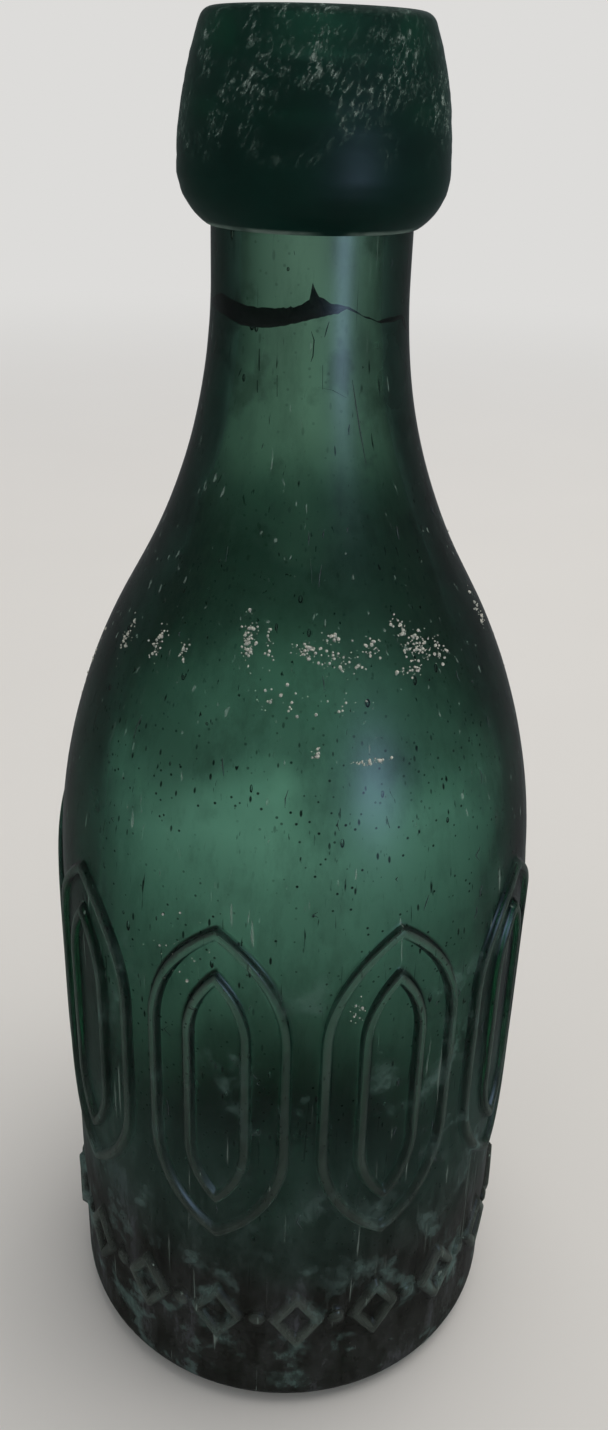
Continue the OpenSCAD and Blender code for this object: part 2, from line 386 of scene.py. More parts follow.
def grainedMaterial(name):
    # its colours follow a fine grain, and so does its roughness where two values are given
    look = grainedLooks[name]
    width, detail, distortion, upright = look["grain"]
    material, add, place = newMaterial(name)
    if upright:
        place = add("Mapping", {"Vector": place, "Scale": (1.0, 1.0, upright)})
    grain = add("TexNoise",
                {"Vector": place, "Scale": patternScale(width), "Detail": detail, "Distortion": distortion})
    colour = add("ValToRGB", {"Fac": grain}, output="Color", stops=look["colours"])
    roughness = look["roughness"][0]
    if len(look["roughness"]) > 1:
        roughness = add("MapRange", [grain, *grainedLooks["grainLevels"], *look["roughness"]])
    shader = add("BsdfPrincipled", {"Base Color": colour, "Roughness": roughness, **look.get("clear", {})})
    add("OutputMaterial", {"Surface": shader})
    return material


# The bottle's body: one repeat of the mould's pattern, set round the axis by Geometry Nodes

body = {  # mm and degrees, as in the part's source
    "radius": 32.85, "wall": 4.0, "heelRadius": 4.5, "standWidth": 4.0, "pushUp": 3.0,
    "floorHeight": 9.0, "floorRadius": 150.0, "cornerRadius": 7.0,
    "shoulderRadius": 83.0, "shoulderSlope": 29.2, "neckCurveRadius": 71.0, "neckLength": 5.6,
    "neckRadius": 11.6, "boreRadius": 8.0, "lipFoot": 162.6, "neckEnd": 172.8,
}
pattern = {
    "repeats": 9, "turn": -16.0,
    "panelWidth": 19.4, "panelHeight": 52.0, "panelFoot": 35.0, "pointRadius": 20.0,
    "lineWidth": 1.5, "lineSpace": 3.6, "lineHeight": 0.85,
    "lineFoot": 1.0, "lineCrown": 0.28,  # half widths of a line's foot and of its rounded top
    "lozengeWidth": 7.6, "lozengeHeight": 11.0, "lozengeFoot": 14.0, "beadRadius": 1.3,
    "bandHeights": (10.0, 30.0, 91.0),  # the border lies in the lower band, the panels in the upper one
    "beadShare": 0.8,      # height of a bead, as a share of a line's
    "columns": 16,
    # spacing of points in mm: below the pattern, above it, inside, and between its lines
    "lowSpacing": 2.0, "highSpacing": 1.2, "innerSpacing": 1.8, "gridStep": 1.45, "freeSpace": 0.7,
    # where points follow a line, as shares of its half width or of a bead's radius
    "panelSteps": (0, 0.24, 0.46, 0.64, 0.82, 1.0, 1.3),
    "lozengeSteps": (0.12, 0.4, 0.7, 1.0, 1.15), "lozengeReach": 0.96,
    "beadSteps": (0.4, 0.7, 0.88, 0.97, 1.0), "beadCorners": 14,
}


def flankRise(low, high, outer, inner):
    slope = math.radians(body["shoulderSlope"])
    reach = low - high - (outer + inner) * (1 - math.cos(slope))
    return (outer + inner) * math.sin(slope) + reach / math.tan(slope)


shoulderFoot = body["lipFoot"] - body["neckLength"] - flankRise(
    body["radius"], body["neckRadius"], body["shoulderRadius"], body["neckCurveRadius"])


def flank(low, high, outer, inner, steps):
    slope = body["shoulderSlope"]
    top = shoulderFoot + flankRise(low, high, outer, inner)
    return (arcPoints(low - outer, shoulderFoot, outer, 0, slope, steps)
            + arcPoints(high + inner, top, inner, 180 + slope, 180, steps))


outerFlank = flank(body["radius"], body["neckRadius"], body["shoulderRadius"], body["neckCurveRadius"], 40)
innerFlank = flank(body["radius"] - body["wall"], body["boreRadius"], body["shoulderRadius"] - body["wall"],
                   body["neckCurveRadius"] + body["neckRadius"] - body["boreRadius"], 30)
outerWall = [(body["radius"], 0.0)] + outerFlank + [(body["neckRadius"], body["neckEnd"])]

halfLine = pattern["lineWidth"] / 2
lineMiddles = (halfLine, halfLine + pattern["lineWidth"] + pattern["lineSpace"])
panelMiddle = pattern["panelFoot"] + pattern["panelHeight"] / 2
panelOffset = pattern["pointRadius"] - pattern["panelWidth"] / 2
sideHalf = pattern["panelHeight"] / 2 - math.sqrt(pattern["pointRadius"] ** 2 - panelOffset ** 2)
borderMiddle = pattern["lozengeFoot"] + pattern["lozengeHeight"] / 2
lozengeSlant = math.hypot(pattern["lozengeWidth"], pattern["lozengeHeight"]) / pattern["lozengeHeight"]
repeatWidth = 2 * math.pi * body["radius"] / pattern["repeats"]
beadPlace = repeatWidth / 4


def lineProfile(distance):
    fall = smoothStep(pattern["lineCrown"], pattern["lineFoot"], abs(distance))
    return pattern["lineHeight"] * (1 - fall)


def panelRelief(x, z):
    # height over the wall, and how far the nearest line's middle is
    up = max(abs(z - panelMiddle) - sideHalf, 0.0)
    inset = pattern["pointRadius"] - math.hypot(abs(x) + panelOffset, up)
    distance = min(abs(inset - middle) for middle in lineMiddles)
    return lineProfile(distance), distance


def borderRelief(x, z):
    up = z - borderMiddle
    a, b = pattern["lozengeWidth"] / 2, pattern["lozengeHeight"] / 2
    inset = (a * b - abs(x) * b - abs(up) * a) / math.hypot(a, b)
    distance = abs(inset - halfLine / lozengeSlant)
    fromBead = math.hypot(x - beadPlace, up)
    dome = math.sqrt(max(0.0, 1 - (fromBead / pattern["beadRadius"]) ** 2))
    return (max(lineProfile(distance), pattern["beadShare"] * pattern["lineHeight"] * dome),
            min(distance, max(0.0, fromBead - pattern["beadRadius"] + pattern["lineFoot"])))


def lancetLoop(inset):
    # closed line at one distance inside the panel's edge
    radius = pattern["pointRadius"] - inset
    spread = math.acos(panelOffset / radius)
    sideSteps, arcSteps = 20, 24
    side = [(radius - panelOffset, -sideHalf + 2 * sideHalf * i / sideSteps) for i in range(sideSteps)]
    curve = [(radius * math.cos(spread * i / arcSteps) - panelOffset,
              sideHalf + radius * math.sin(spread * i / arcSteps)) for i in range(arcSteps)]
    tip = sideHalf + math.sqrt(radius ** 2 - panelOffset ** 2)
    upperRight = side + curve
    lowerRight = [(x, -y) for x, y in reversed(curve[1:])]
    loop = (upperRight + [(0.0, tip)] + [(-x, y) for x, y in reversed(upperRight)]
            + [(-x, y) for x, y in reversed(lowerRight)] + [(0.0, -tip)] + lowerRight)
    return [(x, y + panelMiddle) for x, y in loop]


def lozengeLoop(inset):
    halfWide = pattern["lozengeWidth"] / 2 - inset * lozengeSlant
    halfTall = pattern["lozengeHeight"] * halfWide / pattern["lozengeWidth"]
    corners = [(halfWide, 0.0), (0.0, halfTall), (-halfWide, 0.0), (0.0, -halfTall)]
    steps = 10
    return [(x0 + (x1 - x0) * i / steps, borderMiddle + y0 + (y1 - y0) * i / steps)
            for (x0, y0), (x1, y1) in zip(corners, corners[1:] + corners[:1]) for i in range(steps)]


def beadLoop(radius):
    turns = [2 * math.pi * i / pattern["beadCorners"] for i in range(pattern["beadCorners"])]
    return [(beadPlace + radius * math.cos(a), borderMiddle + radius * math.sin(a)) for a in turns]


def fillBand(xs, zs, loops, relief):
    # triangles that follow the pattern's lines, between the band's straight edges
    points, edges = [], []
    outline = ([(x, zs[0]) for x in xs] + [(xs[-1], z) for z in zs[1:-1]]
               + [(x, zs[-1]) for x in reversed(xs)] + [(xs[0], z) for z in reversed(zs[1:-1])])
    for loop in [outline] + loops:
        start = len(points)
        points += loop
        edges += [(start + i, start + (i + 1) % len(loop)) for i in range(len(loop))]
    shift = (xs[1] - xs[0]) / 4
    for row, z in enumerate(zs[1:-1]):
        for x in xs[1:-1]:
            spot = (x + (shift if row % 2 else -shift), z)
            if relief(*spot)[1] > pattern["lineFoot"] + pattern["freeSpace"]:
                points.append(spot)
    done = delaunay_2d_cdt([Vector(p) for p in points], edges, [], 0, 1e-5)
    return [(p.x, p.y, relief(p.x, p.y)[0]) for p in done[0]], done[2]


class Repeat:
    # gathers one repeat of the wall; side is 0 outside and 1 inside, border marks the lower band
    def __init__(self):
        self.vertices, self.sides, self.crests, self.faces, self.borders = [], [], [], [], []

    def add(self, angle, r, z, side, crest=0.0):
        self.vertices.append(onWall(angle, r, z))
        self.sides.append(side)
        self.crests.append(crest)
        return len(self.vertices) - 1

    def row(self, r, z, side):
        if r < 1e-6:
            return [self.add(0.0, 0.0, z, side)]
        count = pattern["columns"]
        return [self.add(math.pi / pattern["repeats"] * (2 * i / count - 1), r, z, side)
                for i in range(count + 1)]

    def face(self, corners, border=0.0):
        self.faces.append(corners)
        self.borders.append(border)

    def skin(self, outline, side):
        rows = [self.row(r, z, side) for r, z in outline]
        for low, high in zip(rows, rows[1:]):
            for i in range(pattern["columns"]):
                if len(low) == 1:
                    self.face((low[0], high[i + 1], high[i]))
                elif len(high) == 1:
                    self.face((low[i], low[i + 1], high[0]))
                else:
                    self.face((low[i], low[i + 1], high[i + 1], high[i]))

    def band(self, points, triangles, border):
        start = len(self.vertices)
        for x, z, height in points:
            crest = height / pattern["lineHeight"]
            self.add(x / body["radius"], radiusAt(outerWall, z) + height, z, 0.0, crest)
        for corners in triangles:
            self.face(tuple(start + i for i in corners), border)


def bodyRepeat(material):
    standRadius = body["radius"] - body["heelRadius"]
    hollowRadius = standRadius - body["standWidth"]
    hollowArc = (hollowRadius ** 2 + body["pushUp"] ** 2) / (2 * body["pushUp"])
    hollowAngle = math.degrees(math.asin(hollowRadius / hollowArc))
    bottom, middle, top = pattern["bandHeights"]
    under = arcPoints(0, body["pushUp"] - hollowArc, hollowArc, 90, 90 - hollowAngle, 16)
    under[0] = (0.0, body["pushUp"])
    heel = arcPoints(standRadius, body["heelRadius"], body["heelRadius"], -90, 0, 12)
    low = refine(under + heel + [(body["radius"], bottom)], pattern["lowSpacing"])
    above = refine([(radiusAt(outerWall, top), top)] + [p for p in outerFlank if p[1] > top + 0.3]
                   + [(body["neckRadius"], body["neckEnd"])], pattern["highSpacing"])
    cornerX = body["radius"] - body["wall"] - body["cornerRadius"]
    span = body["floorRadius"] - body["cornerRadius"]
    floorAngle = math.degrees(math.asin(cornerX / span))
    cornerZ = body["floorHeight"] + body["floorRadius"] - span * math.cos(math.radians(floorAngle))
    corner = arcPoints(cornerX, cornerZ, body["cornerRadius"], 0, floorAngle - 90, 10)
    floor = arcPoints(0, body["floorHeight"] + body["floorRadius"], body["floorRadius"],
                      floorAngle - 90, -90, 12)[1:-1] + [(0.0, body["floorHeight"])]
    within = refine([(body["boreRadius"], body["neckEnd"])] + innerFlank[::-1] + corner + floor,
                    pattern["innerSpacing"])

    half = repeatWidth / 2
    columns = pattern["columns"]
    part = Repeat()
    part.skin(low, 0.0)
    part.skin(above, 0.0)
    part.skin([(body["neckRadius"], body["neckEnd"]), (body["boreRadius"], body["neckEnd"])], 0.5)
    part.skin(within, 1.0)

    def heights(z0, z1):
        steps = math.ceil((z1 - z0) / pattern["gridStep"])
        return [z0 + (z1 - z0) * i / steps for i in range(steps + 1)]

    across = [-half + 2 * half * i / columns for i in range(columns + 1)]
    offsets = [side * d * pattern["lineFoot"] for d in pattern["panelSteps"]
               for side in ((-1, 1) if d else (1,))]
    panelLoops = [lancetLoop(line + d) for line in lineMiddles for d in offsets]
    part.band(*fillBand(across, heights(middle, top), panelLoops, panelRelief), 0.0)
    borderAcross = across[columns // 2 - 3:columns // 2 + 6]
    borderLoops = [lozengeLoop(halfLine / lozengeSlant + side * d * pattern["lozengeReach"])
                   for d in pattern["lozengeSteps"] for side in (-1, 1)]
    borderLoops += [beadLoop(pattern["beadRadius"] * d) for d in pattern["beadSteps"]]
    part.band(*fillBand(borderAcross, heights(bottom, middle), borderLoops, borderRelief), 1.0)

    obj = newObject("bottleBody", part.vertices, part.faces, material)
    mesh = obj.data
    mesh.attributes.new("wall", "FLOAT", "POINT").data.foreach_set("value", part.sides)
    mesh.attributes.new("crest", "FLOAT", "POINT").data.foreach_set("value", part.crests)
    mesh.attributes.new("border", "FLOAT", "FACE").data.foreach_set("value", part.borders)
    return obj


def newTree(name, kinds):
    # a Geometry Nodes tree with named inputs
    tree = bpy.data.node_groups.new(name, "GeometryNodeTree")
    tree.interface.new_socket("Geometry", in_out="OUTPUT", socket_type="NodeSocketGeometry")
    for label, kind in kinds.items():
        tree.interface.new_socket(label, in_out="INPUT", socket_type="NodeSocket" + kind)
    add = partial(addNode, tree)
    return tree, add, add("NodeGroupInput", output=None).outputs


def moulding():
    # Sets the repeats round the axis, welds them, adds the glass's unevenness and its seeds
    tree, add, given = newTree("moulding", {
        "Geometry": "Geometry", "Repeats": "Int", "Turn": "Float", "Weld": "Float", "Outer Wave": "Float",
        "Inner Wave": "Float", "Wave Size": "Float", "Lip Foot": "Float", "Seeds Per Area": "Float",
        "Seed Radius": "Float", "Seed Depth": "Float", "Random Seed": "Int", "Glass": "Material"})

    def repeated(part, count):
        spots = add("MeshLine", {"Count": count, "Offset": (0, 0, 0)})
        step = add("Math DIVIDE", [math.tau, count])
        index = add("InputIndex")
        angle = add("Math MULTIPLY_ADD", [index, step, given["Turn"]])
        turn = add("CombineXYZ", {"Z": angle})
        placed = add("InstanceOnPoints", {"Points": spots, "Instance": part, "Rotation": turn})
        return add("RealizeInstances", {0: placed})

    border = add("InputNamedAttribute", {"Name": "border"}, data_type="FLOAT")
    apart = add("SeparateGeometry", {"Geometry": given["Geometry"], "Selection": border}, output=None,
                domain="FACE")
    twice = add("Math MULTIPLY", [given["Repeats"], 2.0])
    joined = add("JoinGeometry", output=None)
    tree.links.new(repeated(apart.outputs[0], twice), joined.inputs[0])
    tree.links.new(repeated(apart.outputs[1], given["Repeats"]), joined.inputs[0])
    welded = add("MergeByDistance", {"Geometry": joined.outputs[0], "Distance": given["Weld"]})

    # unevenness of hand-blown glass: slight outside, where the mould is, and strong inside
    place = add("InputPosition")
    height = add("SeparateXYZ", {0: place}, output="Z")
    wall = add("InputNamedAttribute", {"Name": "wall"}, data_type="FLOAT")
    scale = add("Math DIVIDE", [1.0, given["Wave Size"]])
    tall = add("VectorMath MULTIPLY", {0: place, 1: (1, 1, 0.55)})
    waves = add("TexNoise", {"Vector": tall, "Scale": scale, "Detail": 2.0})
    depth = add("MapRange", [wall, 0.0, 1.0, given["Outer Wave"], given["Inner Wave"]])
    centred = add("Math MULTIPLY_ADD", [waves, 2.0, -1.0])
    # the foot and the place under the lip stay true
    lipStart = add("Math SUBTRACT", [given["Lip Foot"], 5 * mm])
    awayFromFoot = add("MapRange", [height, 3 * mm, 12 * mm], **smooth)
    awayFromLip = add("MapRange", [height, lipStart, given["Lip Foot"], 1.0, 0.0], **smooth)
    amount = centred
    for factor in (depth, awayFromFoot, awayFromLip):
        amount = add("Math MULTIPLY", [amount, factor])
    normal = add("InputNormal")
    shift = add("VectorMath SCALE", {0: normal, "Scale": amount})
    uneven = add("SetPosition", {"Geometry": welded, "Offset": shift})

    # seeds: small bubbles inside the wall, drawn out upwards, as hollows with their faces turned inwards
    outside = add("Math LESS_THAN", [wall, 0.25])
    aboveFloor = add("MapRange", [height, 16 * mm, 17 * mm])
    density = given["Seeds Per Area"]
    for factor in (aboveFloor, awayFromLip):
        density = add("Math MULTIPLY", [density, factor])
    spots = add("DistributePointsOnFaces",
                {"Mesh": uneven, "Selection": outside, "Density": density, "Seed": given["Random Seed"]},
                output=None)
    # from 0.3 of the seeds' depth to the whole of it
    index = add("InputIndex")
    inward = add("RandomValue", {2: -1.0, 3: -0.3, "ID": index, "Seed": given["Random Seed"]}, output=1,
                 data_type="FLOAT")
    sinking = add("Math MULTIPLY", [given["Seed Depth"], inward])
    sink = add("VectorMath SCALE", {0: spots.outputs[1], "Scale": sinking})
    sunk = add("SetPosition", {"Geometry": spots.outputs[0], "Offset": sink})
    bubble = add("MeshUVSphere", {"Segments": 8, "Rings": 5, "Radius": 1.0})
    hollow = add("FlipFaces", {0: bubble})
    # from 0.35 of the seeds' radius to the whole of it, and up to 3.2 times as long
    share = add("RandomValue", {2: 0.35, 3: 1.0, "Seed": 2}, output=1, data_type="FLOAT")
    stretch = add("RandomValue", {2: 1.0, 3: 3.2, "Seed": 3}, output=1, data_type="FLOAT")
    width = add("Math MULTIPLY", [given["Seed Radius"], share])
    length = add("Math MULTIPLY", [width, stretch])
    swell = add("CombineXYZ", {"X": width, "Y": width, "Z": length})
    seeds = add("InstanceOnPoints", {"Points": sunk, "Instance": hollow, "Scale": swell})
    realSeeds = add("RealizeInstances", {0: seeds})
    marked = add("StoreNamedAttribute", {"Geometry": realSeeds, "Name": "wall", "Value": 0.5},
                 data_type="FLOAT", domain="POINT")

    whole = add("JoinGeometry", output=None)
    tree.links.new(marked, whole.inputs[0])
    tree.links.new(uneven, whole.inputs[0])
    shaded = add("SetShadeSmooth", {0: whole.outputs[0]})
    real = add("RealizeInstances", {0: shaded})
    coloured = add("SetMaterial", {"Geometry": real, "Material": given["Glass"]})
    add("NodeGroupOutput", {0: coloured})
    return tree


def grown(obj, tree, values):
    # runs the tree on the object, and gives it the result as a plain mesh
    modifier = obj.modifiers.new(tree.name, "NODES")
    modifier.node_group = tree
    for item in tree.interface.items_tree:
        if item.item_type == "SOCKET" and item.in_out == "INPUT" and item.name in values:
            modifier[item.identifier] = values[item.name]
    ready = obj.evaluated_get(bpy.context.evaluated_depsgraph_get())
    mesh = bpy.data.meshes.new_from_object(ready)
    obj.modifiers.remove(modifier)
    mesh.name = obj.name
    obj.data = mesh


bodyGlass = mouldBlownGlass()
bottleBody = bodyRepeat(bodyGlass)
grown(bottleBody, moulding(), {
    "Repeats": pattern["repeats"], "Turn": math.radians(pattern["turn"]), "Weld": 0.02 * mm,
    "Outer Wave": 0.16 * mm, "Inner Wave": 0.7 * mm, "Wave Size": 17 * mm, "Lip Foot": body["lipFoot"] * mm,
    "Seeds Per Area": 5200.0, "Seed Radius": 0.3 * mm, "Seed Depth": 3.0 * mm,
    "Random Seed": 7, "Glass": bodyGlass,
})
print("bottle body", len(bottleBody.data.vertices), "points", len(bottleBody.data.polygons), "faces")


# The lip: a second gather of glass wound round the neck's end and tooled to shape

lip = {
    "height": 21.4, "radius": 15.35, "bellyHeight": 5.8, "ledge": 0.2, "edgeRadius": 0.8,
    "rimRadius": 11.2, "rimEdge": 1.6, "mouthRadius": 6.5, "mouthEdge": 1.2, "mouthLength": 4.0,
    "grooveHeight": 4.0, "grooveRadius": 9.55, "ledgeRadius": 7.6,
    "seatGap": 0.03,       # keeps the lip's glass apart from the neck's
    "toolMarks": 0.07,     # depth of the rings that the tool leaves
    "unevenness": 0.16,
    # how closely both follow each other round the lip and up it
    "markPitch": (1.3, 1.1), "lumpPitch": (1.1, 0.12),
}
bottleTop = body["lipFoot"] + lip["height"]


def joiningRadius(dx, dz, r):
    return (dx * dx + dz * dz - r * r) / (2 * (dx - r))


def lipOutline():
    foot, top = body["lipFoot"], bottleTop
    bellyZ = foot + lip["bellyHeight"]
    edgeX, edgeZ = body["neckRadius"] + lip["ledge"], foot + lip["edgeRadius"]
    rimZ = top - lip["rimEdge"]
    lower = joiningRadius(lip["radius"] - edgeX, bellyZ - edgeZ, lip["edgeRadius"])
    upper = joiningRadius(lip["radius"] - lip["rimRadius"], rimZ - bellyZ, lip["rimEdge"])
    lowerAngle = math.degrees(math.asin((bellyZ - edgeZ) / (lower - lip["edgeRadius"])))
    upperAngle = math.degrees(math.asin((rimZ - bellyZ) / (upper - lip["rimEdge"])))
    mouthX = lip["mouthRadius"] + lip["mouthEdge"]
    grooveTop = top - lip["mouthEdge"] - lip["mouthLength"]
    grooveFoot = grooveTop - lip["grooveHeight"]
    seat = body["neckRadius"] + lip["seatGap"]
    neckEnd = body["neckEnd"] + lip["seatGap"]
    outline = [(seat, foot)]
    outline += arcPoints(edgeX, edgeZ, lip["edgeRadius"], -90, -lowerAngle, 8)
    outline += arcPoints(lip["radius"] - lower, bellyZ, lower, -lowerAngle, 0, 12)[1:]
    outline += arcPoints(lip["radius"] - upper, bellyZ, upper, 0, upperAngle, 26)[1:]
    outline += arcPoints(lip["rimRadius"], rimZ, lip["rimEdge"], upperAngle, 90, 8)[1:]
    outline += arcPoints(mouthX, top - lip["mouthEdge"], lip["mouthEdge"], 90, 180, 8)
    outline += [(lip["mouthRadius"], grooveTop), (lip["grooveRadius"], grooveTop),
                (lip["grooveRadius"], grooveFoot), (lip["ledgeRadius"], grooveFoot),
                (lip["ledgeRadius"], neckEnd), (seat, neckEnd), (seat, foot)]
    return refine(outline, 0.75)[:-1]


def lipShape(angle, r, z):
    # rings from the tool, which ran round the lip as it turned, and a slight lean of the gather
    offNeck = smoothStep(body["neckRadius"] + 0.2, body["neckRadius"] + 1.6, r)
    show = offNeck * smoothStep(0, 1.2, bottleTop - z)
    x, y = math.cos(angle), math.sin(angle)
    round1, up1 = lip["markPitch"]
    round2, up2 = lip["lumpPitch"]
    rings = noise.noise((x * round1, y * round1, z * up1))
    lumps = noise.noise((x * round2 + 7, y * round2, z * up2))
    r += show * (lip["toolMarks"] * rings + lip["unevenness"] * lumps)
    return onWall(angle, r, z)


appliedLip = turnedRing("appliedLip", lipOutline(), 168, tooledLipGlass(), lipShape)
print("lip", len(appliedLip.data.polygons), "faces")


# The sealing ring in its groove

ring = {"middleRadius": 7.55, "height": 176.8, "thickness": 3.8, "cracks": 0.05, "crackPitch": 0.9}


def ringShape(angle, r, z):
    # perished rubber: fine cracks and a slightly uneven surface
    pitch = ring["crackPitch"]
    place = (math.cos(angle) * r * pitch, math.sin(angle) * r * pitch, z * pitch)
    wave = noise.fractal(place, 1.0, 2.0, 4)
    inward = Vector((r - ring["middleRadius"], 0, z - ring["height"])) * (1 - abs(wave) * ring["cracks"])
    return onWall(angle, ring["middleRadius"] + inward.x, ring["height"] + inward.z)


ringOutline = arcPoints(ring["middleRadius"], ring["height"], ring["thickness"] / 2, 0, 360, 28)[:-1]
sealingRing = turnedRing("sealingRing", ringOutline, 128, grainedMaterial("perishedRubber"), ringShape)


# The marble

marble = {"radius": 7.0, "height": 16.1, "pits": 0.02, "pitPitch": 9, "pitLevel": 0.35}


def rolledMarble(material):
    work = bmesh.new()
    bmesh.ops.create_icosphere(work, subdivisions=6, radius=1.0)
    vertices = []
    for vertex in work.verts:
        dent = max(0.0, noise.noise(vertex.co * marble["pitPitch"]) - marble["pitLevel"])
        radius = marble["radius"] - dent * marble["pits"]
        vertices.append(vertex.co * radius * mm + Vector((0, 0, marble["height"] * mm)))
    faces = [tuple(corner.index for corner in face.verts) for face in work.faces]
    work.free()
    return newObject("marbleStopper", vertices, faces, material)


marbleStopper = rolledMarble(grainedMaterial("rolledMarbleGlass"))
print("ring and marble made")


# Age: the crack across the neck, the deeper scratches, and flecks of lime

crack = {
    # degrees from the front and mm; the outer edge first, then the inner edge's angle, height and radius
    "rows": [(-77.4, 154.1, -82.0, 154.3, 11.2), (-56.2, 153.5, -72.0, 155.4, 9.4),
             (-40.2, 152.8, -46.3, 154.5, 8.5), (-25.9, 152.85, -29.0, 154.6, 8.5),
             (-15.5, 153.2, -18.0, 154.75, 8.5), (-3.9, 153.8, -8.0, 155.0, 8.5),
             (3.0, 154.2, -0.5, 155.75, 8.5), (7.5, 154.4, 1.5, 157.6, 8.5),
             (11.0, 154.55, 4.0, 156.2, 8.5), (15.3, 154.7, 14.0, 155.5, 8.6),
             (20.3, 155.2, 24.7, 155.1, 9.6), (32.6, 154.1, 32.8, 154.2, 10.7),
             (42.9, 153.4, 43.0, 153.5, 10.7), (55.6, 153.3, 57.0, 153.6, 9.8),
             (67.3, 153.6, 68.0, 153.6, 10.4), (75.2, 151.7, 75.0, 151.8, 10.6),
             (100.0, 151.2, 100.0, 151.3, 10.8), (134.0, 152.3, 134.0, 152.4, 11.0)],
    "thickness": 0.07, "jagged": 0.12, "jagPitch": 0.35,
    "steps": 6,            # parts between one given row and the next
    "sunk": 0.03,          # keeps the outer edge inside the skin
}
scratches = {
    "drawn": [[(-27.4, 150.6), (-27.1, 149.3), (-26.6, 148.2)], [(-27.3, 147.2), (-26.7, 145.9)],
              [(-16.3, 148.0), (-15.6, 145.7)], [(1.2, 152.8), (2.8, 151.9), (2.4, 150.2), (1.4, 149.6)],
              [(7.7, 149.3), (7.9, 146.7)], [(5.5, 146.9), (13.0, 146.6), (20.8, 145.7)],
              [(24.0, 147.6), (27.0, 143.0), (29.5, 138.5)], [(-9.2, 161.0), (-8.8, 160.6)],
              [(-30.0, 129.0), (-29.5, 127.4)], [(3.0, 128.6), (3.6, 126.2)],
              [(21.0, 101.0), (21.6, 99.6)]],
    "scattered": 150, "heights": (36.0, 160.0), "lengths": (0.5, 3.4), "lean": 9.0,
    "shorter": (0.3, 1.0), "bend": 1.2,
    "width": 0.13, "tipShare": 0.35, "depth": 0.1, "proud": 0.02, "seed": 11,
}
limescale = {
    # degrees from the front, height, half spread round and up in mm, crumbs
    "patches": [(-62, 115.8, 0.9, 2.6, 26), (-46, 117.6, 0.8, 1.7, 26), (-35.5, 117.2, 0.5, 1.5, 12),
                (-15.4, 119.8, 0.8, 1.9, 44), (-9, 119.0, 0.5, 1.9, 10), (2, 119.4, 1.2, 1.0, 30),
                (9.5, 120.6, 0.9, 0.6, 12), (11, 118.0, 3.0, 1.3, 30), (22, 119.2, 1.0, 0.8, 16),
                (33, 120.6, 1.0, 2.2, 20), (38, 118.4, 1.4, 1.9, 44), (45, 117.2, 1.0, 1.4, 14),
                (33, 116.2, 1.6, 0.7, 14), (18, 107.4, 1.7, 0.25, 26), (5, 108.6, 0.5, 0.7, 12),
                (-5, 114.0, 3.0, 1.2, 14), (12, 113.8, 2.6, 1.0, 8), (-84, 108.0, 0.6, 4.0, 16),
                (15, 75.0, 0.8, 2.0, 12), (-24, 81.0, 5.0, 5.0, 14)],
    "otherPatches": 17, "otherAngles": (75, 270), "otherHeights": (117, 5),  # middle height and its spread
    "otherSpread": (1.2, 1.8), "otherCrumbs": 17, "gathered": 0.6, "proud": 0.02,
    "crumb": (0.06, 0.25), "crumbsMore": 1.7, "mostlySmall": 2.2,
    "roughness": 0.15, "lumpWidth": 0.4, "seed": 5,
}


def ribbon(rows, vertices, faces):
    # a closed strip; a row holds its four corners there, near edge first, as angle, height and radius
    start = len(vertices)
    for corners in rows:
        vertices += [onWall(math.radians(angle), r, z) for angle, z, r in corners]
    for i in range(len(rows) - 1):
        a, b = start + 4 * i, start + 4 * i + 4
        faces += [(a, b, b + 1, a + 1), (a + 1, b + 1, b + 3, a + 3), (a + 3, b + 3, b + 2, a + 2),
                  (a + 2, b + 2, b, a)]
    last = start + 4 * len(rows) - 4
    faces += [(start, start + 1, start + 3, start + 2), (last, last + 2, last + 3, last + 1)]


def crackedNeck(material):
    rows = []
    for row, after in zip(crack["rows"], crack["rows"][1:] + [None]):
        for i in range(crack["steps"] if after else 1):
            share = i / crack["steps"]
            angle, z, innerAngle, innerZ, innerRadius = [
                a + (b - a) * share for a, b in zip(row, after or row)]
            jag = crack["jagged"] * noise.noise((angle * crack["jagPitch"], 3.0, 0.0))
            edges = ((angle, z + jag, radiusAt(outerWall, z) - crack["sunk"]),
                     (innerAngle, innerZ + 2 * jag, innerRadius))
            rows.append([(a, up + side * crack["thickness"] / 2, r)
                         for a, up, r in edges for side in (-1, 1)])
    vertices, faces = [], []
    ribbon(rows, vertices, faces)
    obj = newObject("neckCrack", vertices, faces, material)
    outwardNormals(obj)
    return obj


def deepScratches(material):
    # strips that lie in the surface, narrower at both ends
    chance = random.Random(scratches["seed"])
    lines = list(scratches["drawn"])
    for _ in range(scratches["scattered"]):
        angle, z = chance.uniform(-180, 180), chance.uniform(*scratches["heights"])
        length = chance.uniform(*scratches["lengths"]) * chance.uniform(*scratches["shorter"])
        lean = chance.gauss(0, scratches["lean"]) * length / radiusAt(outerWall, z)
        bend = chance.gauss(0, scratches["bend"])
        middle = (angle + lean / 2 + bend / 2, z + length / 2)
        lines.append([(angle, z), middle, (angle + lean, z + length)])
    vertices, faces = [], []
    for line in lines:
        rows = []
        for angle, z in line:
            r = radiusAt(outerWall, z)
            half = math.degrees(scratches["width"] / 2 / r)
            narrow = scratches["tipShare"] if (angle, z) in (line[0], line[-1]) else 1.0
            rows.append([(angle + side * half * narrow, z, r + scratches["proud"] - sunk)
                         for side in (-1, 1) for sunk in (0, scratches["depth"])])
        ribbon(rows, vertices, faces)
    obj = newObject("deepScratches", vertices, faces, material)
    outwardNormals(obj)
    return obj


